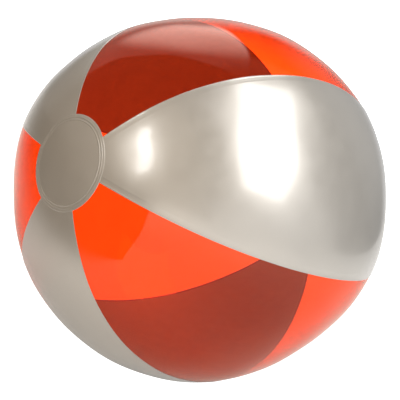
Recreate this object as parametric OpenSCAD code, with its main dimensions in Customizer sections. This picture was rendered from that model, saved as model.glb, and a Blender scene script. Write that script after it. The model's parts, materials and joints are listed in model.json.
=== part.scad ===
// Inflatable beach ball: six film panels from pole to pole, a disc over each pole, and an air valve
// that is pushed in flush. The origin is the centre of the ball. The pole axis is X, with the plain
// disc at -X. +Z runs through the middle of orange panel 1, and the ball stands on silver panel 2.

/* [Ball] */
// Outer diameter over the silver panels
ball_d = 280; // [200:5:480]
// Thickness of one layer of film
film_t = 0.25; // [0.2:0.05:0.5]
// Width of the lap where two panels are welded
lap_w = 5; // [3:0.5:8]

/* [End discs] */
// Diameter of the disc over each pole
cap_d = 70.6; // [55:0.2:90]
// Diameter of the opening that the panel points leave under the disc
cap_opening_d = 54; // [40:1:60]
// Diameter of the raised weld line on the disc
cap_weld_d = 64; // [58:0.5:68]
// Height of the raised weld line
cap_weld_h = 0.2; // [0.1:0.05:0.4]

/* [Valve place] */
// Angle from the plain pole to the valve
valve_polar = 150; // [135:1:155]
// Angle round the pole axis from +Z to the valve
valve_longitude = 60; // [60:120:300]

/* [Valve] */
// Diameter of the welded flange
flange_d = 25; // [22:0.5:32]
// Thickness of the flange
flange_t = 0.6; // [0.4:0.1:1]
// Diameter of the hole in the film and the flange
film_hole_d = 15; // [14:0.5:17]
// How far the stem pulls out
pull_travel = 11; // [9:0.5:12]
// Outer diameter of the stem
stem_d = 9.2; // [9:0.1:9.6]
// Length of the stem inside the ball's outer face when pushed in
stem_depth = 11; // [11:0.5:14]
// Height of the stem's rim over the ball's outer face when pushed in
rim_h = 0.9; // [0.8:0.1:1.4]
// Diameter of the rim collar
rim_d = 10.8; // [10.6:0.1:11.4]
// Diameter of the bore that takes an inflation nozzle
bore_d = 6; // [5.5:0.1:6.2]
// Length of that bore
bore_l = 6.2; // [5:0.1:6.4]

/* [Stopper] */
// Diameter of the wide mouth of the stopper seat
seat_mouth_d = 8; // [7.8:0.1:8.2]
// Diameter of the seat's narrow end
seat_foot_d = 6.4; // [6.3:0.1:6.5]
// Depth of the seat below the rim
seat_depth = 3.1; // [2.8:0.1:3.2]
// Radial clearance of the stopper in its seat
seat_gap = 0.12; // [0.1:0.01:0.15]
// Diameter of the stopper's head
head_d = 10.4; // [10:0.1:11]
// Thickness of the stopper's head
head_t = 1.2; // [1:0.1:1.6]
// Distance from the stem's axis to the fold of the strap
strap_reach = 9; // [9:0.1:10.5]
// Width of the strap
strap_w = 4; // [3:0.5:5]
// Thickness of the strap
strap_t = 0.6; // [0.5:0.1:0.6]
// Gap inside the fold of the strap
fold_gap = 0.3; // [0.3:0.05:0.35]

/* [Hidden] */

panel_count = 6;
panel_angle = 360 / panel_count;
ball_r = ball_d / 2;                 // outer face of the silver layer
orange_r = ball_r - film_t;          // outer face of the orange layer, under the silver
cap_r = ball_r + film_t;             // outer face of the end discs
reach = 2 * ball_r;                  // longer than anything that is cut
valve_cut = 20;                      // taller than anything that is cut at the valve
film_hole_r = film_hole_d / 2;
stem_r = stem_d / 2;
bore_r = bore_d / 2;
seat_foot_r = seat_foot_d / 2;
seat_mouth_r = seat_mouth_d / 2;
seat_foot_z = rim_h - seat_depth;    // heights are measured from the ball's outer face
bore_top_z = bore_l - stem_depth;
collar_z = 0.1;                      // underside of the rim collar and the strap's tab
head_z = rim_h + 0.1;                // underside of the stopper's head
nose_z = bore_top_z + 0.6;           // lowest point of the stopper
nose_r = 1.6;
nose_bulge = 0.3;                    // how far the nose stands out from a straight cone
lip_l = 1.6;                         // the pull lip on the stopper's head
lip_w = 4;
lip_t = 0.8;
fold_z = collar_z + strap_t + fold_gap / 2;  // the hinge line is the middle of the fold
fold_arc = 30;                       // the part of the fold that swings with the stopper
web_t = 0.4;
web_gap = 0.15;                      // between the web's lower end and the stem
flange_foot_r = orange_r - flange_t;  // inner face of the flange, which follows the film's curve
web_root_z = sqrt(flange_foot_r * flange_foot_r - film_hole_r * film_hole_r) - ball_r;
web_foot_z = web_root_z - pull_travel / 2;   // half the travel, so that the web turns fully inside out
flap_r = 3.9;
flap_t = 0.4;
flap_gap = 0.1;
flap_hinge_x = 4.4;                  // the leaf bends along the middle of its rounded edge

silver = [0.72, 0.70, 0.66];
orange = [1.0, 0.29, 0.10, 0.6];
clear_vinyl = [0.90, 0.91, 0.90, 0.7];

$fn = 180;

// Turns the pole axis from Z to X, so that longitude 0 points up.
module on_pole_axis() {
    rotate([0, -90, 0]) children();
}

// Puts Z along the valve's axis, with its origin on the ball's outer face and X along the strap.
module at_valve() {
    on_pole_axis()
        rotate([0, valve_polar, valve_longitude])
            rotate([0, 0, 180])
                translate([0, 0, ball_r])
                    children();
}

// A hollow sphere of film, given by its outer radius.
module film_sphere(outer_r, thickness) {
    difference() {
        sphere(r = outer_r);
        sphere(r = outer_r - thickness);
    }
}

// The long wedge that one panel is cut from. Its sides run half a lap outside the seam lines.
module panel_wedge() {
    half = panel_angle / 2;
    behind = lap_w / 2 / sin(half);
    far = reach + behind;
    translate([0, 0, -reach])
        linear_extrude(2 * reach)
            polygon([
                [-behind, 0],
                [far * cos(half) - behind, -far * sin(half)],
                [far * cos(half) - behind, far * sin(half)]
            ]);
}

// One panel of the film, centred on a longitude, with its points cut off under the end discs.
module film_panel(outer_r, longitude) {
    on_pole_axis()
        difference() {
            intersection() {
                film_sphere(outer_r, film_t);
                rotate([0, 0, longitude]) panel_wedge();
            }
            cylinder(h = 2 * reach, d = cap_opening_d, center = true);
        }
}

module silver_panel(longitude) {
    color(silver)
        difference() {
            film_panel(ball_r, longitude);
            if (longitude == valve_longitude)
                at_valve() cylinder(h = valve_cut, r = film_hole_r, center = true, $fn = 64);
        }
}

module orange_panel(longitude) {
    color(orange) film_panel(orange_r, longitude);
}

// A disc of film over one pole, with the raised line where it is welded to the panels.
module end_cap(side) {
    weld_r = cap_weld_d / 2;
    weld_z = sqrt(cap_r * cap_r - weld_r * weld_r);
    bead_r = 1;
    color(silver)
        rotate([0, side * 90, 0])
            union() {
                intersection() {
                    film_sphere(cap_r, film_t);
                    cylinder(h = reach, d = cap_d);
                }
                difference() {
                    rotate_extrude()
                        translate([weld_r, weld_z - bead_r + cap_weld_h])
                            circle(r = bead_r, $fn = 32);
                    sphere(r = cap_r - film_t / 2);
                }
            }
}

// The flange follows the film's curve on its inner face.
module valve_flange() {
    color(clear_vinyl)
        intersection() {
            film_sphere(orange_r, flange_t);
            at_valve()
                difference() {
                    cylinder(h = valve_cut, d = flange_d, center = true, $fn = 64);
                    cylinder(h = 2 * valve_cut, r = film_hole_r, center = true, $fn = 64);
                }
        }
}

// The web is a thin cone that turns inside out when the stem is pulled out. Its top meets the flange.
module valve_web() {
    foot_r = stem_r + web_gap;
    color(clear_vinyl)
        intersection() {
            sphere(r = flange_foot_r);
            at_valve()
                rotate_extrude($fn = 64)
                    polygon([
                        [film_hole_r, web_root_z + web_t],
                        [film_hole_r + web_t, web_root_z + web_t],
                        [film_hole_r + web_t, web_root_z],
                        [foot_r + web_t, web_foot_z],
                        [foot_r, web_foot_z],
                        [film_hole_r, web_root_z]
                    ]);
        }
}

// The stem is a tube with a collar. Its bore widens in two steps to the stopper's seat.
module stem_tube() {
    rotate_extrude($fn = 64)
        polygon([
            [bore_r, -stem_depth],
            [stem_r, -stem_depth],
            [stem_r, collar_z],
            [rim_d / 2, collar_z],
            [rim_d / 2, rim_h],
            [seat_mouth_r, rim_h],
            [seat_foot_r, seat_foot_z],
            [seat_foot_r, bore_top_z],
            [bore_r, bore_top_z]
        ]);
}

module valve_stem() {
    tab_start = (stem_r + rim_d / 2) / 2;
    color(clear_vinyl)
        at_valve()
            union() {
                stem_tube();
                translate([tab_start, -strap_w / 2, collar_z])
                    cube([strap_reach - tab_start, strap_w, strap_t]);
            }
}

// The stopper is a tapered plug under a flat head. Its nose is thin so that it swings clear.
module stopper() {
    taper = (seat_mouth_r - seat_foot_r) / seat_depth;
    plug_lift = head_z - rim_h;
    plug_foot_z = seat_foot_z + plug_lift;
    plug_foot_r = seat_foot_r - seat_gap + taper * plug_lift;
    plug_top_r = seat_mouth_r - seat_gap + taper * plug_lift;
    color(clear_vinyl)
        at_valve()
            union() {
                rotate_extrude($fn = 64)
                    polygon([
                        [0, nose_z],
                        [nose_r, nose_z],
                        [(nose_r + plug_foot_r) / 2 + nose_bulge, (nose_z + plug_foot_z) / 2],
                        [plug_foot_r, plug_foot_z],
                        [plug_top_r, head_z],
                        [head_d / 2, head_z],
                        [head_d / 2, head_z + head_t],
                        [0, head_z + head_t]
                    ]);
                // pull lip on the side away from the strap
                translate([-head_d / 2 - lip_l, -lip_w / 2, head_z + (head_t - lip_t) / 2])
                    cube([lip_l + head_d / 4, lip_w, lip_t]);
            }
}

// The strap's upper half runs from the stopper's head to the start of the fold.
module stopper_strap() {
    color(clear_vinyl)
        at_valve()
            union() {
                difference() {
                    translate([0, -strap_w / 2, fold_z + fold_gap / 2])
                        cube([strap_reach, strap_w, strap_t]);
                    cylinder(h = valve_cut, d = head_d, center = true, $fn = 64);
                }
                translate([strap_reach, strap_w / 2, fold_z])
                    rotate([90, 0, 0])
                        rotate_extrude(angle = fold_arc, start = 90 - fold_arc, $fn = 64)
                            translate([fold_gap / 2, 0])
                                square([strap_t, strap_w]);
            }
}

// The leaf lies across the stem's inner end and bends inward along a line beside the bore.
module check_flap() {
    tongue_w = 3.6;
    color(clear_vinyl)
        at_valve()
            translate([0, 0, -stem_depth - flap_gap - flap_t])
                union() {
                    cylinder(h = flap_t, r = flap_r, $fn = 64);
                    translate([0, -tongue_w / 2, 0])
                        cube([flap_hinge_x, tongue_w, flap_t]);
                    translate([flap_hinge_x, 0, flap_t / 2])
                        rotate([90, 0, 0])
                            cylinder(h = tongue_w, d = flap_t, center = true, $fn = 32);
                }
}

silver_panel(panel_angle);  // silver_panel_1
silver_panel(3 * panel_angle);  // silver_panel_2
silver_panel(5 * panel_angle);  // silver_panel_3
orange_panel(0);  // orange_panel_1
orange_panel(2 * panel_angle);  // orange_panel_2
orange_panel(4 * panel_angle);  // orange_panel_3
end_cap(-1);  // end_cap_plain
end_cap(1);  // end_cap_valve_end
valve_flange();
valve_web();
valve_stem();
stopper();
stopper_strap();
check_flap();
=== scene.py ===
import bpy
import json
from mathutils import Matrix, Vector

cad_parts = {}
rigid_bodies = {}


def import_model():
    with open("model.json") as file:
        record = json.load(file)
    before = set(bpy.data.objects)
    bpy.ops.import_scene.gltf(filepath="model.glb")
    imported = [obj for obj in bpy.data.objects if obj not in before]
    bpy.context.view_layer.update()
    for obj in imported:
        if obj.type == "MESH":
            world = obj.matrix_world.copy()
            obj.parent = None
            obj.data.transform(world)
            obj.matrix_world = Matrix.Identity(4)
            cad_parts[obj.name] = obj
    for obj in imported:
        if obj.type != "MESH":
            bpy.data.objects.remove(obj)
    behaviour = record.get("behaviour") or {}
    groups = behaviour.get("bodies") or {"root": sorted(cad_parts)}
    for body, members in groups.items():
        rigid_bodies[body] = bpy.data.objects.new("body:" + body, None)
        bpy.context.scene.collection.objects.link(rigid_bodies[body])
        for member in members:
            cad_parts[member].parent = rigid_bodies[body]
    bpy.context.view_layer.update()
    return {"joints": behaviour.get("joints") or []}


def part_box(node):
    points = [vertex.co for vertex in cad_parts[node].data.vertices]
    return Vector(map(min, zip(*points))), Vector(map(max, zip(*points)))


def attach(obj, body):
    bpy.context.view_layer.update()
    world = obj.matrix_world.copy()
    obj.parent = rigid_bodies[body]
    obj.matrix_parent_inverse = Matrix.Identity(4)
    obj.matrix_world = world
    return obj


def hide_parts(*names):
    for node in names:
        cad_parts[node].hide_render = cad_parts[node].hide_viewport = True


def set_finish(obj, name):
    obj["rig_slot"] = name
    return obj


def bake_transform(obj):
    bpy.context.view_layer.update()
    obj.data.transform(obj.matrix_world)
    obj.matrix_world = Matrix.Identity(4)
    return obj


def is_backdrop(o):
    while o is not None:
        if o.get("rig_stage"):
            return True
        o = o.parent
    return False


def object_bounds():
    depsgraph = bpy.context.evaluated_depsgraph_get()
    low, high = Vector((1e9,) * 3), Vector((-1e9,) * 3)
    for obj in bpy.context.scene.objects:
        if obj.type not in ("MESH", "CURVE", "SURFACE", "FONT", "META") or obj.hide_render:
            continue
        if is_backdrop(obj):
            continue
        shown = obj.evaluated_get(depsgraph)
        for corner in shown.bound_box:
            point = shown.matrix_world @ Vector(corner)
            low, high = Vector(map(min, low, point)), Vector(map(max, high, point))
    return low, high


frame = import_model()

import json
import math

import bmesh
import bpy
import numpy as np
from mathutils import Matrix, Vector

# Lengths are in metres. The ball's pole axis is X, with the plain end disc at -X. A place on the ball
# is given by its polar angle from -X and by its longitude from +Z, towards +Y.
MM = 0.001
FILM = 0.25 * MM
SILVER_REACH = 0.3 * MM              # how far a silver panel's edge lies past its even 60 degrees
SHOWN_LAP = 1.3 * MM                 # how far an orange panel goes under a silver one
GAP = 0.03 * MM                      # between two layers that lie on each other
OPENING_RADIUS = 27.0 * MM           # of the panels' opening at each pole, under the end disc
HOLE_RADIUS = 7.5 * MM               # of the valve's hole in its panel
BALL_RADIUS = -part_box("silver_panel_2")[0].z
POLE_RADIANS = math.asin(OPENING_RADIUS / BALL_RADIUS)

# The valve's own axes: the way out along its stem, the hinge line of its strap, and the strap's way.
joint_axes = {joint["name"]: np.array(joint["axis"]) for joint in frame["joints"]}
VALVE_AXIS = joint_axes["valve_pull"]
VALVE_Y = joint_axes["stopper_flip"] / np.linalg.norm(joint_axes["stopper_flip"])
VALVE_X = np.cross(VALVE_Y, VALVE_AXIS)


# ---------------------------------------------------------------- the inflated shape

def direction(polar, longitude):
    """Unit vectors for arrays of polar angles and longitudes, in radians."""
    ring = np.sin(polar)
    return np.stack([-np.cos(polar), ring * np.sin(longitude), ring * np.cos(longitude)], -1)


def angles(unit):
    """The polar angle and longitude of unit vectors."""
    polar = np.arccos(np.clip(-unit[..., 0], -1, 1))
    return polar, np.arctan2(unit[..., 1], unit[..., 2])


def angle_between(unit, other):
    return np.arccos(np.clip(unit @ other, -1, 1))


def smooth(low, high, value):
    """A smooth step from 0 at low to 1 at high."""
    t = np.clip((value - low) / (high - low), 0, 1)
    return t * t * (3 - 2 * t)


def ridge(value, middle, width):
    """1 at middle, falling smoothly to 0 on both sides."""
    return np.exp(-(((value - middle) / width) ** 2))


def nearness(unit, polar, longitude, reach):
    """1 at a place on the ball, falling smoothly to 0 all round it. The three are in degrees."""
    place_on = direction(np.radians(polar), np.radians(longitude))
    return ridge(np.degrees(angle_between(unit, place_on)), 0, reach)


# The ball isn't evenly tight. It lies slack over the top and bulges beside that and underneath. Each row
# has the place's polar angle and longitude and how far round it the film moves, all in degrees, and
# then the rise.
SWELLS = [
    (70, 25, 24, -3.8 * MM),
    (42, 84, 21, 2.7 * MM),
    (40, 117, 18, 0.7 * MM),
    (96, 0, 18, 1.6 * MM),
    (74, 186, 24, 1.0 * MM),
    (123, 258, 24, 0.8 * MM),
]

# Very low waves all over the film: the wave's direction times its turns, and its phase.
RIPPLES = [
    ((19.0, 7.0, 11.0), 0.6),
    ((-6.0, 17.0, 13.0), 2.1),
    ((9.0, -12.0, 21.0), 4.0),
]
RIPPLE_HEIGHT = 0.07 * MM

# The film lies on the round shape near the valve, and blends into the uneven one further out.
ROUND_NEAR_VALVE, UNEVEN_FROM = 13 * MM, 34 * MM


def inflated(unit):
    """Distance of the film's outer face from the centre. Orange panels lie flatter than silver ones."""
    polar, longitude = angles(unit)
    along = 1 + 0.0026 * np.cos(2 * polar) - 0.0064 * np.cos(4 * polar)
    across = 0.0083 * np.cos(6 * longitude) + 0.0098 * np.cos(3 * longitude)
    radius = BALL_RADIUS * along * (1 - across * np.sin(polar) ** 2)
    for place_polar, place_longitude, reach, rise in SWELLS:
        radius += rise * nearness(unit, place_polar, place_longitude, reach)
    for turns, phase in RIPPLES:
        radius += RIPPLE_HEIGHT * np.sin(unit @ np.array(turns) + phase)
    from_valve = angle_between(unit, VALVE_AXIS) * BALL_RADIUS
    rounded_share = 1 - smooth(ROUND_NEAR_VALVE, UNEVEN_FROM, from_valve)
    return radius * (1 - rounded_share) + BALL_RADIUS * rounded_share


def on_ball(unit, height=0.0):
    """Points on the ball at a height over its outer face."""
    return unit * (inflated(unit) + height)[..., None]


# ---------------------------------------------------------------- meshes

def add_mesh(name, points, faces):
    """A smooth-shaded object of its own from points and faces."""
    mesh = bpy.data.meshes.new(name)
    mesh.from_pydata(points.tolist(), [], faces)
    mesh.polygons.foreach_set("use_smooth", np.ones(len(mesh.polygons), bool))
    mesh.update()
    piece = bpy.data.objects.new(name, mesh)
    bpy.context.scene.collection.objects.link(piece)
    return piece


def grid_faces(rows, columns, around=False, first=0):
    """Quads of a grid of points, row after row. around joins the last column to the first."""
    last = columns if around else columns - 1
    return [
        [
            first + i * columns + j,
            first + i * columns + (j + 1) % columns,
            first + (i + 1) * columns + (j + 1) % columns,
            first + (i + 1) * columns + j,
        ]
        for i in range(rows - 1)
        for j in range(last)
    ]


def quad_normals(points, corners):
    """The normal of each quad, as long as twice its area."""
    a, b, c, d = (points[corners[:, k]] for k in range(4))
    return np.cross(c - a, d - b)


def free_edges(faces):
    """The edges that only one face has, each in that face's direction."""
    edges = {}
    for face in faces:
        for start, end in zip(face, face[1:] + face[:1]):
            if (end, start) in edges:
                del edges[(end, start)]
            else:
                edges[(start, end)] = True
    return list(edges)


def thicken(points, faces, thickness):
    """A closed film from its outer face: the inner face is moved in, and the edges are joined."""
    corners = np.array(faces)
    flat = quad_normals(points, corners)
    normals = np.zeros_like(points)
    for k in range(4):
        np.add.at(normals, corners[:, k], flat)
    normals /= np.linalg.norm(normals, axis=1, keepdims=True)
    count = len(points)
    inner = [[index + count for index in reversed(face)] for face in faces]
    rim = [[end, start, start + count, end + count] for start, end in free_edges(faces)]
    return np.vstack([points, points - normals * thickness]), faces + inner + rim


SHARP_DEGREES = 50                   # an edge that bends by more than this stays hard


def mark_sharp_edges(piece):
    piece.data.set_sharp_from_angle(angle=math.radians(SHARP_DEGREES))


def film_piece(name, node, slot, points, faces):
    """A sheet of film on the envelope, wound so that its outer face looks away from the ball's centre."""
    corners = np.array(faces)
    outward = (quad_normals(points, corners) * points[corners[:, 0]]).sum()
    if outward < 0:
        faces = [list(reversed(face)) for face in faces]
    piece = add_mesh(name, *thicken(points, faces, FILM))
    mark_sharp_edges(piece)
    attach(piece, "envelope")
    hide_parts(node)
    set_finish(piece, slot)


# ---------------------------------------------------------------- panels

# Distances in from a panel's long edge, closer together where the weld's relief needs it.
EDGE_STEPS = np.array([0, 0.15, 0.35, 0.6, 0.9, 1.3, 2.0, 3.2, 3.8, 4.2, 4.7, 5.4, 6.6, 8.5]) * MM
HALF_STEPS = 14                      # further columns from there to the panel's middle
ROWS = 220                           # of points, from pole to pole


def weld_relief(inset):
    """The silver layer's height near its long edge: a rounded bead, a pressed band and its inner line."""
    bead = 0.09 * ridge(inset, 0.55 * MM, 0.35 * MM)
    tuck = -0.12 * ridge(inset, 0, 0.22 * MM)
    band = -0.03 * smooth(0.9 * MM, 1.4 * MM, inset) * (1 - smooth(3.8 * MM, 4.7 * MM, inset))
    line = 0.03 * ridge(inset, 4.7 * MM, 0.45 * MM)
    return (bead + tuck + band + line) * MM


def pucker(inset, along, seed):
    """Small waves that the weld leaves beside a seam, with their crests across it."""
    waves = (
        np.sin(along / (1.55 * MM) + seed)
        + 0.8 * np.sin(along / (2.35 * MM) + 2.3 * seed)
        + 0.6 * np.sin(along / (3.9 * MM) + 4.1 * seed)
    )
    patchy = 0.55 + 0.45 * np.sin(along / (21 * MM) + 1.7 * seed)
    reach = smooth(0.5 * MM, 3 * MM, inset) * ridge(inset, 0, 9 * MM)
    return 0.022 * MM * waves * patchy * reach


# Where the film is drawn aside: the place's polar angle and longitude and how far round it the pull
# reaches, all in degrees, then the way and the length of the pull.
PULLS = [
    (0, 0, 40, (0.0, -0.87, 0.5), 5.0 * MM),
    (54, 30, 30, (0.0, 0.87, -0.5), 6.0 * MM),
    (38, 150, 24, (0.0, -0.87, -0.5), 3.0 * MM),
    (78, 270, 42, (0.0, 0.0, -1.0), 1.1 * MM),
]


def drawn_aside(unit):
    """The seams don't run quite evenly: the film is drawn a little aside in a few places."""
    moved = unit.copy()
    for polar, longitude, reach, way, length in PULLS:
        share = nearness(unit, polar, longitude, reach)
        moved += share[..., None] * np.array(way) * length / BALL_RADIUS
    return moved / np.linalg.norm(moved, axis=-1, keepdims=True)


def panel_sheet(middle, silver, seed):
    """A panel's outer face, in rows from pole to pole: where its points lie on the ball, and how high."""
    polar = np.linspace(POLE_RADIANS, math.pi - POLE_RADIANS, ROWS)[:, None]
    ring = BALL_RADIUS * np.sin(polar)
    reach = SILVER_REACH if silver else SHOWN_LAP - SILVER_REACH
    half = ring * (math.pi / 6 + np.arcsin(reach / ring))
    share = (np.arange(1, HALF_STEPS + 1) / HALF_STEPS)[None, :]
    inner = EDGE_STEPS[-1] + (half - EDGE_STEPS[-1]) * share
    inset = np.hstack([np.repeat(EDGE_STEPS[None, :], ROWS, 0), inner])
    left = (inset - half) / ring
    longitude = math.radians(middle) + np.hstack([left, -left[:, -2::-1]])
    inset = np.hstack([inset, inset[:, -2::-1]])
    along = np.repeat(polar * BALL_RADIUS, inset.shape[1], 1)
    side = np.sign(longitude - math.radians(middle))
    unit = drawn_aside(direction(np.repeat(polar, inset.shape[1], 1), longitude))
    height = pucker(inset, along, seed + 3 * side)
    height += weld_relief(inset) if silver else -(FILM + GAP)
    return unit, height


# Rings of points round the valve's hole: distances out from its edge, then shares of the way from the
# last of them to a block of the panel's grid, which reaches this many rows and columns each way.
RING_STEPS = np.array([0, 0.12, 0.3, 0.6, 1.0, 1.4, 1.8, 2.3, 2.9, 3.5, 4.0, 4.4, 4.8, 5.4, 6.2]) * MM
RING_SHARES = (0.2, 0.4, 0.6, 0.8)
BLOCK = 9


def flange_relief(out):
    """Height round the valve's hole: the film dips to the flange and shows its round weld."""
    weld = 0.10 * ridge(out, 1.4 * MM, 0.4 * MM) + 0.10 * ridge(out, 4.4 * MM, 0.4 * MM)
    press = -0.08 * smooth(1.6 * MM, 2.2 * MM, out) * (1 - smooth(3.6 * MM, 4.2 * MM, out))
    edge = -0.14 * ridge(out, 0, 0.25 * MM)
    return (weld + press + edge) * MM


def valve_opening(unit, height):
    """The panel's points with a round hole for the valve: rings run from the hole to a block of the grid."""
    rows, columns = height.shape
    centre = np.unravel_index(np.argmax(unit @ VALVE_AXIS), height.shape)
    top, bottom = centre[0] - BLOCK, centre[0] + BLOCK
    left, right = centre[1] - BLOCK, centre[1] + BLOCK
    border = [(top, j) for j in range(left, right)]
    border += [(i, right) for i in range(top, bottom)]
    border += [(bottom, j) for j in range(right, left, -1)]
    border += [(i, left) for i in range(bottom, top, -1)]
    flat_index = [i * columns + j for i, j in border]
    edge = unit.reshape(-1, 3)[flat_index]
    away = angle_between(edge, VALVE_AXIS)
    turn = np.arctan2(edge @ VALVE_Y, edge @ VALVE_X)
    sideways = np.cos(turn)[:, None] * VALVE_X + np.sin(turn)[:, None] * VALVE_Y
    hole = HOLE_RADIUS / BALL_RADIUS
    ring_angles = [np.full_like(away, hole + step / BALL_RADIUS) for step in RING_STEPS]
    last = ring_angles[-1]
    ring_angles += [last + (away - last) * share for share in RING_SHARES]
    ring_points = [
        np.cos(angle)[:, None] * VALVE_AXIS + np.sin(angle)[:, None] * sideways for angle in ring_angles
    ]
    ring_heights = [flange_relief((angle - hole) * BALL_RADIUS) for angle in ring_angles]
    inside = np.zeros((rows, columns), bool)
    inside[top + 1:bottom, left + 1:right] = True
    kept = np.ones((rows - 1, columns - 1), bool)
    kept[top:bottom, left:right] = False
    faces = [face for face, keep in zip(grid_faces(rows, columns), kept.reshape(-1)) if keep]
    count = len(border)
    first = rows * columns
    loops = [[first + k * count + m for m in range(count)] for k in range(len(ring_angles))]
    loops.append(flat_index)
    for inner_loop, outer_loop in zip(loops, loops[1:]):
        for m in range(count):
            n = (m + 1) % count
            faces.append([inner_loop[m], outer_loop[m], outer_loop[n], inner_loop[n]])
    points = np.vstack([unit.reshape(-1, 3), *ring_points])
    heights = np.concatenate([height.reshape(-1), *ring_heights])
    used = np.concatenate([~inside.reshape(-1), np.ones(len(points) - first, bool)])
    new_index = np.cumsum(used) - 1
    faces = [[int(new_index[index]) for index in face] for face in faces]
    return points[used], heights[used], faces


def panel(node, middle, silver, hole, seed):
    """One panel of the ball. Orange panels lie a layer lower than silver ones, to go under them."""
    unit, height = panel_sheet(middle, silver, seed)
    if hole:
        unit, height, faces = valve_opening(unit, height)
    else:
        faces = grid_faces(*height.shape)
        unit, height = unit.reshape(-1, 3), height.reshape(-1)
    slot = "silver_film" if silver else "orange_film"
    film_piece(node + "_film", node, slot, on_ball(unit, height), faces)


DISC_TURNS = 240                     # points in each ring of an end disc


def end_disc(node, pole_angle, aside):
    """A disc of film with two weld lines and a bevelled edge. aside is how far it lies off its pole."""
    # The rings' distances out from the middle, closer together at the weld lines and at the edge.
    steps = np.concatenate([
        np.linspace(0.4, 27, 28),
        np.arange(28, 30.2, 0.5),
        np.arange(30.3, 33.9, 0.12),
        np.array([34.2, 34.6, 34.9, 35.1, 35.22, 35.3]),
    ]) * MM
    turn = np.arange(DISC_TURNS) * 2 * math.pi / DISC_TURNS
    away, around = np.meshgrid(steps / BALL_RADIUS, turn, indexing="ij")
    unit = direction(np.abs(pole_angle - away), around) + aside
    unit /= np.linalg.norm(unit, axis=-1, keepdims=True)
    lines = 0.2 * ridge(steps, 30.9 * MM, 0.34 * MM) + 0.15 * ridge(steps, 32.9 * MM, 0.30 * MM)
    pressed = -0.05 * smooth(31.1 * MM, 31.6 * MM, steps) * (1 - smooth(32.2 * MM, 32.7 * MM, steps))
    drop = -0.2 * smooth(34.9 * MM, 35.4 * MM, steps)
    wave = np.sin(5 * around + 0.7) + 0.7 * np.sin(9 * around + 2.0) + 0.5 * np.sin(17 * around)
    uneven = 1 + 0.18 * wave
    height = FILM + GAP + ((lines[:, None] * uneven) + pressed[:, None] + drop[:, None]) * MM
    height += 0.04 * MM * wave * ridge(steps, 34 * MM, 3.5 * MM)[:, None]
    centre = direction(np.array([pole_angle]), np.array([0.0])) + aside
    middle = on_ball(centre / np.linalg.norm(centre), np.array([FILM + GAP]))
    points = np.vstack([on_ball(unit, height).reshape(-1, 3), middle])
    last = len(points) - 1
    faces = grid_faces(len(steps), DISC_TURNS, around=True)
    faces += [[last, (k + 2) % DISC_TURNS, k + 1, k] for k in range(0, DISC_TURNS, 2)]
    film_piece(node + "_film", node, "silver_film", points, faces)


for number in range(3):
    panel(f"silver_panel_{number + 1}", 60 + 120 * number, True, number == 0, 1.3 + number)
    panel(f"orange_panel_{number + 1}", 120 * number, False, False, 5.1 + number)
PLAIN_DISC_ASIDE = np.array([0.0, 0.92, 2.1]) * MM / BALL_RADIUS
end_disc("end_cap_plain", 0.0, PLAIN_DISC_ASIDE)
end_disc("end_cap_valve_end", math.pi, np.zeros(3))


# ---------------------------------------------------------------- the valve

ON_AXIS = 1e-6                       # a radius too small to see, where a turned outline meets its axis
MERGE_DISTANCE = 1e-7                # points closer than this become one


def valve_point(x, y, s):
    """A point from the valve's own axes: s is the height over the ball's outer face."""
    return (
        np.multiply.outer(x, VALVE_X)
        + np.multiply.outer(y, VALVE_Y)
        + np.multiply.outer(BALL_RADIUS + np.asarray(s), VALVE_AXIS)
    )


def rounded(outline, radius, steps=4, closed=True):
    """A polygon with its corners, each of its own radius, turned into short curves."""
    points = [np.array(p, float) for p in outline]
    radii = radius if hasattr(radius, "__len__") else [radius] * len(points)
    result = []
    count = len(points)
    for k, (corner, r) in enumerate(zip(points, radii)):
        if not closed and k in (0, count - 1) or r == 0:
            result.append(corner)
            continue
        back = points[k - 1] - corner
        ahead = points[(k + 1) % count] - corner
        reach = min(r, 0.45 * np.linalg.norm(back), 0.45 * np.linalg.norm(ahead))
        start = corner + back / np.linalg.norm(back) * reach
        end = corner + ahead / np.linalg.norm(ahead) * reach
        for t in np.linspace(0, 1, steps + 1):
            result.append((1 - t) ** 2 * start + 2 * t * (1 - t) * corner + t ** 2 * end)
    return np.array(result)


def turned(name, profile, turns=96):
    """A body turned about the valve's axis from a closed outline of (radius, height) in metres."""
    around = np.arange(turns) * 2 * math.pi / turns
    r = np.multiply.outer(profile[:, 0], np.ones(turns))
    s = np.multiply.outer(profile[:, 1], np.ones(turns))
    points = valve_point(r * np.cos(around), r * np.sin(around), s).reshape(-1, 3)
    last_row = (len(profile) - 1) * turns
    faces = grid_faces(len(profile), turns, around=True)
    faces += [
        [last_row + j, last_row + (j + 1) % turns, (j + 1) % turns, j]
        for j in range(turns)
    ]
    return add_mesh(name, points, faces)


def fix_normals(piece):
    """Turns every face outward and keeps hard edges hard."""
    work = bmesh.new()
    work.from_mesh(piece.data)
    bmesh.ops.remove_doubles(work, verts=work.verts, dist=MERGE_DISTANCE)
    bmesh.ops.recalc_face_normals(work, faces=work.faces)
    work.to_mesh(piece.data)
    work.free()
    piece.data.polygons.foreach_set("use_smooth", np.ones(len(piece.data.polygons), bool))
    mark_sharp_edges(piece)


def mm_outline(*points):
    return np.array(points) * MM


def line_normals(line):
    """Unit normals of a line of points in a plane, to the right of its way."""
    slope = np.gradient(line, axis=0)
    slope /= np.linalg.norm(slope, axis=1, keepdims=True)
    return np.stack([slope[:, 1], -slope[:, 0]], 1)


def rod_faces(rings, count):
    """Faces of a closed rod: rings of count points, and a flat cap on each end."""
    last_ring = (rings - 1) * count
    faces = grid_faces(rings, count, around=True)
    faces.append(list(range(count)))
    faces.append([last_ring + k for k in reversed(range(count))])
    return faces


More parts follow.
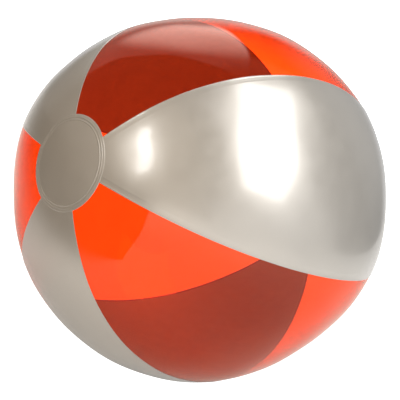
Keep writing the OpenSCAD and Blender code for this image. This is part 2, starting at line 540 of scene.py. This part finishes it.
def joined(name, parts):
    """Several meshes as one piece."""
    offset, points, faces = 0, [], []
    for part in parts:
        mesh = part.data
        points += [list(v.co) for v in mesh.vertices]
        faces += [[index + offset for index in p.vertices] for p in mesh.polygons]
        offset += len(mesh.vertices)
        bpy.data.objects.remove(part)
    return add_mesh(name, np.array(points), faces)


def bar(name, outline, width):
    """A flat moulding: an outline in the valve's x-s plane given a width along y, with soft edges."""
    half = width / 2
    bevel = 0.12 * MM
    layers = [(-half, -bevel), (-half + bevel * 0.3, -bevel * 0.3), (-half + bevel, 0.0),
              (half - bevel, 0.0), (half - bevel * 0.3, -bevel * 0.3), (half, -bevel)]
    away = outline - outline.mean(0)
    outward = away / np.linalg.norm(away, axis=1, keepdims=True)
    points = []
    for y, outset in layers:
        ring = outline + outward * outset
        points.append(valve_point(ring[:, 0], np.full(len(ring), y), ring[:, 1]))
    piece = add_mesh(name, np.vstack(points), rod_faces(len(layers), len(outline)))
    fix_normals(piece)
    return piece


def place(piece, body, node):
    """Puts a finished valve piece on its body."""
    fix_normals(piece)
    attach(piece, body)
    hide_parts(node)
    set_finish(piece, "clear_vinyl")


def under_film(radius):
    """The height of a face just under the film, at a distance from the valve's axis."""
    return math.sqrt((BALL_RADIUS - FILM - GAP) ** 2 - radius ** 2) - BALL_RADIUS


def flange():
    """The disc welded under the film, with fine round grooves on its inner face."""
    inner, outer, thickness = HOLE_RADIUS, 12.5 * MM, 0.6 * MM
    groove_depth, groove_scale = 0.05 * MM, 0.25 * MM
    top = [(r, under_film(r)) for r in np.linspace(inner, outer, 12)]
    bottom = [
        (r, under_film(r) - thickness + groove_depth * math.sin(r / groove_scale))
        for r in np.linspace(outer, inner, 36)
    ]
    place(turned("valve_flange_disc", np.array(top + bottom)), "envelope", "valve_flange")


def web():
    """The cone between flange and stem."""
    centre = rounded(
        mm_outline((7.7, -1.0), (7.55, -1.9), (6.6, -3.8), (5.3, -5.9), (4.95, -6.9)),
        1.2 * MM, 6, closed=False,
    )
    half_thickness = 0.17 * MM
    to_face = line_normals(centre) * half_thickness
    piece = turned("valve_web_cone", np.vstack([centre + to_face, (centre - to_face)[::-1]]))
    fix_normals(piece)
    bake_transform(piece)
    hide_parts("valve_web")
    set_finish(piece, "clear_vinyl")


def stem():
    """The tube with its rim collar, the tapered seat in its mouth, and a low rib where the web joins."""
    outline = rounded(
        mm_outline(
            (3.0, -11.0), (4.6, -11.0), (4.6, -7.6), (4.75, -7.4), (4.75, -6.9), (4.6, -6.7),
            (4.6, 0.1), (5.4, 0.1), (5.4, 0.9), (4.0, 0.9), (3.2, -2.2), (3.2, -4.8), (3.0, -4.8),
        ),
        [0.3 * MM, 0.3 * MM, 0.1 * MM, 0.1 * MM, 0.1 * MM, 0.1 * MM, 0.25 * MM, 0.3 * MM,
         0.3 * MM, 0.2 * MM, 0.3 * MM, 0.05 * MM, 0.05 * MM],
    )
    place(turned("valve_stem_tube", outline), "stem", "valve_stem")


def stopper():
    """The tapered plug under its head, with a shallow dish on top and a pull lip at the side."""
    outline = rounded(
        mm_outline(
            (0.0, -4.2), (1.6, -4.2), (2.66, -3.13), (3.1, -2.1), (3.9, 1.0), (5.2, 1.0),
            (5.2, 2.2), (3.9, 2.2), (3.5, 2.0), (0.0, 2.0),
        ),
        [0, 0.5 * MM, 0.4 * MM, 0.3 * MM, 0.15 * MM, 0.25 * MM, 0.35 * MM, 0.2 * MM, 0.2 * MM, 0],
    )
    outline[:, 0] = np.maximum(outline[:, 0], ON_AXIS)
    lip_outline = rounded(
        mm_outline((-6.8, 1.25), (-6.8, 2.05), (-4.6, 2.05), (-4.6, 1.25)), 0.3 * MM,
    )
    parts = [turned("stopper_plug", outline), bar("stopper_lip", lip_outline, 4.0 * MM)]
    place(joined("stopper_plug_and_lip", parts), "stopper", "stopper")


def strap():
    """The strap from the stem's collar to the stopper's head, folded once over itself."""
    low, high, fold_x = 0.4 * MM, 1.3 * MM, 9.0 * MM
    half_width, half_thickness = 1.9 * MM, 0.27 * MM
    bend = (high - low) / 2
    lower = [(x, low) for x in np.linspace(5.2 * MM, fold_x, 16)]
    arc = [
        (fold_x + bend * math.cos(a), (low + high) / 2 + bend * math.sin(a))
        for a in np.linspace(-math.pi / 2, math.pi / 2, 17)[1:-1]
    ]
    upper = [(x, high) for x in np.linspace(fold_x, 5.0 * MM, 16)]
    centre = np.array(lower + arc + upper)
    signs = np.array([(-1, -1), (1, -1), (1, 1), (-1, 1)])
    section = rounded(signs * (half_width, half_thickness), 0.2 * MM, 3)
    points = []
    for middle, out in zip(centre, line_normals(centre)):
        ring = middle + section[:, 1:2] * out
        points.append(valve_point(ring[:, 0], section[:, 0], ring[:, 1]))
    faces = rod_faces(len(centre), len(section))
    piece = add_mesh("stopper_strap_band", np.vstack(points), faces)
    fix_normals(piece)
    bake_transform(piece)
    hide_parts("stopper_strap")
    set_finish(piece, "clear_vinyl")


def leaf():
    """The thin leaf under the stem, held along one side."""
    low, high, edge = -11.5, -11.1, 0.12 * MM
    disc_outline = rounded(
        mm_outline((0.0, low), (3.9, low), (3.9, high), (0.0, high)), [0, edge, edge, 0],
    )
    tongue_outline = rounded(mm_outline((3.2, low), (4.5, low), (4.5, high), (3.2, high)), edge)
    parts = [
        turned("leaf_disc", disc_outline + np.array([ON_AXIS, 0])),
        bar("leaf_tongue", tongue_outline, 3.6 * MM),
    ]
    place(joined("check_flap_leaf", parts), "flap", "check_flap")


flange()
web()
stem()
stopper()
strap()
leaf()


# ---------------------------------------------------------------- materials

class Nodes:
    """Short names for building a node tree."""

    def __init__(self, tree):
        self.tree = tree

    def add(self, kind, inputs=None, **settings):
        node = self.tree.nodes.new(kind)
        for name, value in settings.items():
            setattr(node, name, value)
        for name, value in (inputs or {}).items():
            socket = node.inputs[name]
            if isinstance(value, bpy.types.NodeSocket):
                self.tree.links.new(value, socket)
            else:
                socket.default_value = value
        return node

    def math(self, operation, a, b):
        return self.add("ShaderNodeMath", {0: a, 1: b}, operation=operation).outputs[0]

    def ramp(self, value, low, high, to_low=0.0, to_high=1.0, interpolation="SMOOTHSTEP"):
        node = self.add(
            "ShaderNodeMapRange",
            {"Value": value, "From Min": low, "From Max": high, "To Min": to_low, "To Max": to_high},
            interpolation_type=interpolation,
        )
        return node.outputs["Result"]

    def noise(self, where, scale, detail):
        node = self.add("ShaderNodeTexNoise", {"Vector": where, "Scale": scale, "Detail": detail})
        return node.outputs["Fac"]

    def mix_color(self, share, a, b):
        node = self.add("ShaderNodeMix", {0: share, 6: a, 7: b}, data_type="RGBA")
        return node.outputs[2]

    def mix_shader(self, share, a, b):
        node = self.add("ShaderNodeMixShader", {0: share, 1: a, 2: b})
        return node.outputs[0]

    def scatter(self, color):
        """Cloudy film: half of the light that it takes in goes back, and half goes on through."""
        back = self.add("ShaderNodeBsdfDiffuse", {"Color": color}).outputs[0]
        onward = self.add("ShaderNodeBsdfTranslucent", {"Color": color}).outputs[0]
        return self.mix_shader(0.5, back, onward)

    def clear(self, color):
        return self.add("ShaderNodeBsdfTransparent", {"Color": color}).outputs[0]

    def gloss(self, color, roughness):
        node = self.add("ShaderNodeBsdfGlossy", {"Color": color, "Roughness": roughness})
        return node.outputs[0]

    def facing(self):
        """0 where a face is seen straight on, up to 1 at its outline."""
        return self.add("ShaderNodeLayerWeight", {"Blend": 0.5}).outputs["Facing"]

    def along(self, where, way):
        """How far a place or direction lies along a way."""
        node = self.add("ShaderNodeVectorMath", {0: where, 1: way}, operation="DOT_PRODUCT")
        return node.outputs["Value"]

    def length(self, where):
        return self.add("ShaderNodeVectorMath", {0: where}, operation="LENGTH").outputs["Value"]

    def difference(self, a, b):
        node = self.add("ShaderNodeVectorMath", {0: a, 1: b}, operation="SUBTRACT")
        return node.outputs["Vector"]

    def finish(self, shader):
        output = self.add("ShaderNodeOutputMaterial")
        self.tree.links.new(shader, output.inputs["Surface"])


def new_material(name):
    material = bpy.data.materials.new(name)
    material.use_nodes = True
    material.node_tree.nodes.clear()
    return material, Nodes(material.node_tree)


def silver_film():
    """Vinyl filled with fine metallic pigment. Its outer side has a clear glossy skin."""
    material, n = new_material("silver_film")
    where = n.add("ShaderNodeTexCoord").outputs["Object"]
    cloud = n.noise(where, 22.0, 3.0)
    grain = n.noise(where, 800.0, 3.0)
    tone = n.math("ADD", n.math("MULTIPLY", cloud, 0.75), n.math("MULTIPLY", grain, 0.25))
    color = n.mix_color(tone, (0.50, 0.477, 0.440, 1), (0.57, 0.547, 0.510, 1))
    rough = n.ramp(n.noise(where, 90.0, 4.0), 0.3, 0.7, 0.31, 0.37)
    skin = n.noise(where, 1400.0, 2.0)
    bump = n.add(
        "ShaderNodeBump", {"Height": skin, "Strength": 0.06, "Distance": 0.05 * MM},
    ).outputs["Normal"]
    normal = n.add("ShaderNodeNewGeometry").outputs["Normal"]
    outer = n.ramp(n.along(normal, where), -0.02, 0.02)
    rough = n.ramp(outer, 0.0, 1.0, 0.6, rough, "LINEAR")
    shader = n.add(
        "ShaderNodeBsdfPrincipled",
        {
            "Base Color": color,
            "Roughness": rough,
            "Metallic": 0.55,
            "IOR": 1.5,
            "Normal": bump,
            "Coat Weight": outer,
            "Coat Roughness": 0.12,
            "Coat IOR": 1.5,
        },
    )
    n.finish(shader.outputs[0])
    return material


def gloss_share(n, straight, grazing):
    """How much of the light a smooth face sends back: little straight on, much at a low angle."""
    steep = n.math("POWER", n.facing(), 5.0)
    return n.ramp(steep, 0.0, 1.0, straight, grazing, "LINEAR")


def orange_film():
    """See-through orange vinyl. Each of its two faces tints what passes, and a little haze glows."""
    material, n = new_material("orange_film")
    where = n.add("ShaderNodeTexCoord").outputs["Object"]
    cloud = n.noise(where, 30.0, 3.0)
    tint = n.mix_color(cloud, (0.998, 0.472, 0.205, 1), (0.998, 0.502, 0.235, 1))
    dust = n.ramp(n.noise(where, 900.0, 3.0), 0.66, 0.74)
    haze_color = n.mix_color(dust, (0.90, 0.13, 0.02, 1), (0.95, 0.32, 0.20, 1))
    depth = n.math("MULTIPLY", n.math("POWER", n.facing(), 2.0), 0.12)
    haze_share = n.math("ADD", depth, n.ramp(n.noise(where, 160.0, 4.0), 0.3, 0.75, 0.02, 0.05))
    body = n.mix_shader(haze_share, n.clear(tint), n.scatter(haze_color))
    rough = n.ramp(n.noise(where, 120.0, 4.0), 0.3, 0.7, 0.02, 0.05)
    gloss = n.gloss((1, 0.92, 0.87, 1), rough)
    n.finish(n.mix_shader(gloss_share(n, 0.043, 0.92), body, gloss))
    return material


def clear_vinyl():
    """Soft clear vinyl with a milky look."""
    material, n = new_material("clear_vinyl")
    where = n.add("ShaderNodeTexCoord").outputs["Object"]
    cloud = n.noise(where, 260.0, 3.0)
    milk_color = n.mix_color(cloud, (0.80, 0.82, 0.80, 1), (0.90, 0.91, 0.89, 1))
    milk_share = n.ramp(n.noise(where, 700.0, 3.0), 0.3, 0.7, 0.38, 0.50)
    body = n.mix_shader(milk_share, n.clear((0.93, 0.95, 0.94, 1)), n.scatter(milk_color))
    rough = n.ramp(n.noise(where, 1200.0, 3.0), 0.3, 0.7, 0.14, 0.24)
    n.finish(n.mix_shader(gloss_share(n, 0.04, 0.8), body, n.gloss((1, 1, 1, 1), rough)))
    return material


MATERIALS = {
    "silver_film": silver_film(),
    "orange_film": orange_film(),
    "clear_vinyl": clear_vinyl(),
}
for piece in bpy.data.objects:
    if piece.type == "MESH" and "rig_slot" in piece:
        piece.data.materials.clear()
        piece.data.materials.append(MATERIALS[piece["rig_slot"]])


# ---------------------------------------------------------------- studio

def toward(azimuth, elevation):
    """Unit vector for a camera azimuth and elevation in degrees: azimuth 0 is at -Y, 90 at +X."""
    a, e = math.radians(azimuth), math.radians(elevation)
    return Vector((math.sin(a) * math.cos(e), -math.cos(a) * math.cos(e), math.sin(e)))


def look_from(back, roll=0.0):
    """The turn of a camera or lamp that looks against back, rolled anticlockwise by degrees."""
    right = Vector((0, 0, 1)).cross(back).normalized()
    up = back.cross(right)
    turn = Matrix((right, up, back)).transposed()
    return (turn @ Matrix.Rotation(math.radians(roll), 3, "Z")).to_4x4()


LAMP_DISTANCE = 2.0                  # from the ball's centre to each lamp


def area_light(name, azimuth, elevation, width, height, radiance, color=(1, 1, 1), roll=0.0, glossy=True):
    """A soft lamp. Its width and height are angles as seen from the ball, in degrees."""
    lamp = bpy.data.lights.new(name, "AREA")
    lamp.shape = "RECTANGLE"
    lamp.size = 2 * LAMP_DISTANCE * math.tan(math.radians(width / 2))
    lamp.size_y = 2 * LAMP_DISTANCE * math.tan(math.radians(height / 2))
    lamp.energy = radiance * math.pi * lamp.size * lamp.size_y
    lamp.color = color
    holder = bpy.data.objects.new(name, lamp)
    back = toward(azimuth, elevation)
    holder.matrix_world = Matrix.Translation(back * LAMP_DISTANCE) @ look_from(back, roll)
    holder.visible_camera = False
    holder.visible_glossy = glossy
    bpy.context.scene.collection.objects.link(holder)


CAMERA_AZIMUTH, CAMERA_ELEVATION, CAMERA_ROLL = -47.4, 9.64, 23.5
CAMERA_LENS, CAMERA_SENSOR = 139.0, 36.0
CAMERA_PLACE = Vector((0.0007, -0.0176, 8.39)) * BALL_RADIUS     # right, up and back from the centre


def camera():
    """The photograph's view through a long lens. It is rolled, as that ball is turned on its axis."""
    turn = look_from(toward(CAMERA_AZIMUTH, CAMERA_ELEVATION), CAMERA_ROLL)
    lens = bpy.data.cameras.new("camera")
    lens.lens = CAMERA_LENS
    lens.sensor_width = CAMERA_SENSOR
    holder = bpy.data.objects.new("camera", lens)
    holder.matrix_world = Matrix.Translation(turn @ CAMERA_PLACE) @ turn
    bpy.context.scene.collection.objects.link(holder)
    bpy.context.scene.camera = holder


def floor():
    """A pale table, brighter to the camera than to the ball. The glow that the ball and its reflections meet
    is painted dimmer round the ball's foot, a painted shadow. Off to the ball's left, where only reflections
    meet it, it is painted dark, a painted reflection of a dark room."""
    level = min(corner[2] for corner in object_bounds())
    reach = 6.0
    sides = np.array([(-reach, -reach), (reach, -reach), (reach, reach), (-reach, reach)])
    corners = np.column_stack([sides, np.full(4, level)])
    plane = add_mesh("table", corners, [[0, 1, 2, 3]])
    plane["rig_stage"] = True
    material, n = new_material("table_top")
    where = n.add("ShaderNodeNewGeometry").outputs["Position"]
    pale = n.mix_color(n.noise(where, 40.0, 4.0), (0.90, 0.90, 0.89, 1), (0.93, 0.93, 0.92, 1))
    matt = n.add("ShaderNodeBsdfDiffuse", {"Color": pale}).outputs[0]
    # Painted dark reflection: this near-black face is what reflections meet off to the ball's left.
    black = n.add("ShaderNodeBsdfDiffuse", {"Color": (0.03, 0.03, 0.03, 1)}).outputs[0]

    def glow(color, strength):
        return n.add("ShaderNodeEmission", {"Color": color, "Strength": strength}).outputs[0]

    to_camera = glow((1, 1, 0.995, 1), n.ramp(n.length(where), 0.4, 2.5, 1.75, 3.7))
    shown = n.mix_shader(0.72, matt, to_camera)

    # Painted shadow: the glow that the ball and its reflections meet is dimmest near the ball's foot and
    # brighter further out.
    painted_shadow_middle = (-0.12, -0.05, level)
    from_painted_shadow_middle = n.length(n.difference(where, painted_shadow_middle))
    glow_with_painted_shadow = glow((1, 0.98, 0.95, 1), n.ramp(from_painted_shadow_middle, 0.08, 0.60, 0.52, 1.15))
    matt_and_painted_shadow = n.mix_shader(0.5, matt, glow_with_painted_shadow)

    # The painted dark stretch is a painted reflection that only non-camera rays meet. It widens from its
    # tip, with one soft side and one hard one.
    tip = (-0.225, -0.085, level)
    from_tip = n.difference(where, tip)
    heading = n.add("ShaderNodeVectorMath", {0: from_tip}, operation="NORMALIZE").outputs["Vector"]
    dark = n.math(
        "MULTIPLY",
        n.ramp(n.along(heading, (-0.93, 0.37, 0)), -0.15, 0.50),
        n.ramp(n.along(heading, (-0.324, 0.946, 0)), -0.02, 0.02),
    )
    seen = n.add("ShaderNodeLightPath").outputs["Is Camera Ray"]
    n.finish(n.mix_shader(seen, n.mix_shader(dark, matt_and_painted_shadow, black), shown))
    plane.data.materials.append(material)


def grey(level):
    return (level, level, level, 1)


def surroundings():
    """White behind the ball for the camera. Reflections meet a dim room with paler and darker parts."""
    world = bpy.data.worlds.new("studio")
    world.use_nodes = True
    world.node_tree.nodes.clear()
    n = Nodes(world.node_tree)
    where = n.add("ShaderNodeTexCoord").outputs["Generated"]

    def patch(room, facing, inner, outer, paint):
        """Mixes a round patch over the room: full inside one angle from its middle, gone at the other."""
        reach = n.along(where, tuple(Vector(facing).normalized()))
        share = n.ramp(reach, math.cos(math.radians(outer)), math.cos(math.radians(inner)))
        return n.mix_color(share, room, paint)

    room = (0.20, 0.19, 0.175, 1)
    room = patch(room, (1, 0, 0), 30, 60, (0.16, 0.155, 0.15, 1))
    room = patch(room, (0.62, 0.50, 0.60), 21, 28, grey(0.04))
    room = patch(room, (0.73, 0.67, -0.1), 20, 36, grey(0.7))
    room = patch(room, (-0.985, -0.174, 0), 89, 90, (0.12, 0.11, 0.10, 1))

    # A pale wall between two upright edges, with soft ends above and below and a bright lamp on it.
    height = n.add("ShaderNodeSeparateXYZ", {0: where}).outputs["Z"]
    wall = n.math(
        "MULTIPLY",
        n.ramp(n.along(where, (0.985, 0.174, 0)), -0.01, 0.02),
        n.ramp(n.along(where, (-0.799, 0.602, 0)), -0.01, 0.02),
    )
    wall = n.math("MULTIPLY", wall, n.ramp(height, 0.15, 0.45))
    wall = n.math("MULTIPLY", wall, n.ramp(height, 0.985, 0.90))
    room = n.mix_color(wall, room, (0.44, 0.435, 0.43, 1))
    with_lamp = patch(room, (0.33, 0.68, 0.66), 7, 25, (2.15, 2.12, 2.1, 1))
    room = n.mix_color(wall, room, with_lamp)

    room = patch(room, (-0.85, -0.5, 0.15), 25, 65, (0.20, 0.18, 0.15, 1))
    room = patch(room, (0.1, -0.98, 0), 15, 55, (0.78, 0.77, 0.76, 1))
    room = patch(room, (0.87, 0.18, 0.46), 8, 30, (0.36, 0.355, 0.35, 1))
    seen = n.add("ShaderNodeLightPath").outputs["Is Camera Ray"]
    color = n.mix_color(seen, room, grey(2.6))
    light = n.add("ShaderNodeBackground", {"Color": color, "Strength": 1.0}).outputs[0]
    output = n.add("ShaderNodeOutputWorld")
    world.node_tree.links.new(light, output.inputs["Surface"])
    bpy.context.scene.world = world


camera()
floor()
surroundings()
area_light("key_softbox", -5, 56, 36, 62, 4.0, roll=-8)
area_light("strip_light", -92.4, 17, 7, 19, 9.0, roll=36)
area_light("front_fill", -87, 5, 70, 60, 2.7, color=(1.0, 0.78, 0.55), glossy=False)

scene = bpy.context.scene
scene.view_settings.view_transform = "Standard"
scene.view_settings.look = "None"
scene.cycles.transparent_max_bounces = 24
